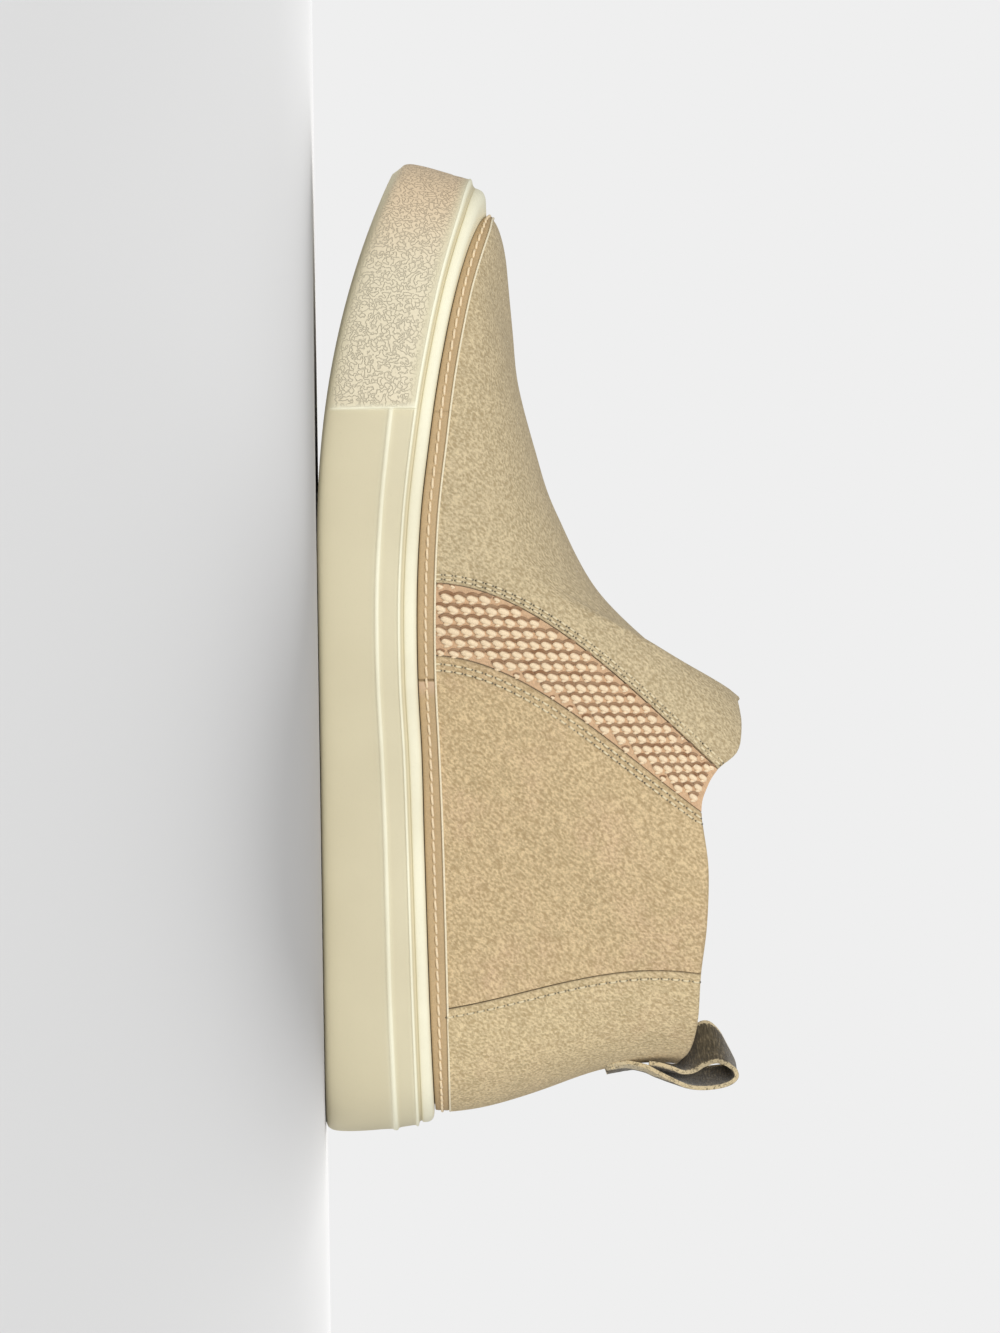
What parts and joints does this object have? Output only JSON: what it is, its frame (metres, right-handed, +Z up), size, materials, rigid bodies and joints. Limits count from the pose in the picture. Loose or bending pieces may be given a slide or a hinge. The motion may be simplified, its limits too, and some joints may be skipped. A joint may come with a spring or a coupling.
{
  "type": "slip-on bootie",
  "caption": "Low slip-on bootie with a thick moulded cup sole, plain hollow upper, ribbed elastic side gores, heel counter and heel pull loop.",
  "frame": {"origin": "middle of the sole's length and width, on the floor that it stands on", "axes": "+Z up, toe towards -X, heel towards +X, outer side of the left foot towards -Y"},
  "size_m": [0.2679, 0.099, 0.1166],
  "materials": {
    "sole_rubber": "satin",
    "welt_leather": "satin",
    "suede": "matte",
    "elastic": "matte",
    "lining": "matte",
    "footbed": "matte",
    "webbing": "matte"
  },
  "bodies": {
    "root": {"cupsole": "sole_rubber", "welt_strip": "welt_leather", "insole": "footbed", "upper": "lining", "vamp": "suede", "gore_lateral": "elastic", "gore_medial": "elastic", "quarter_lateral": "suede", "quarter_medial": "suede", "heel_counter": "suede", "pull_loop": "webbing"}
  },
  "joints": []
}
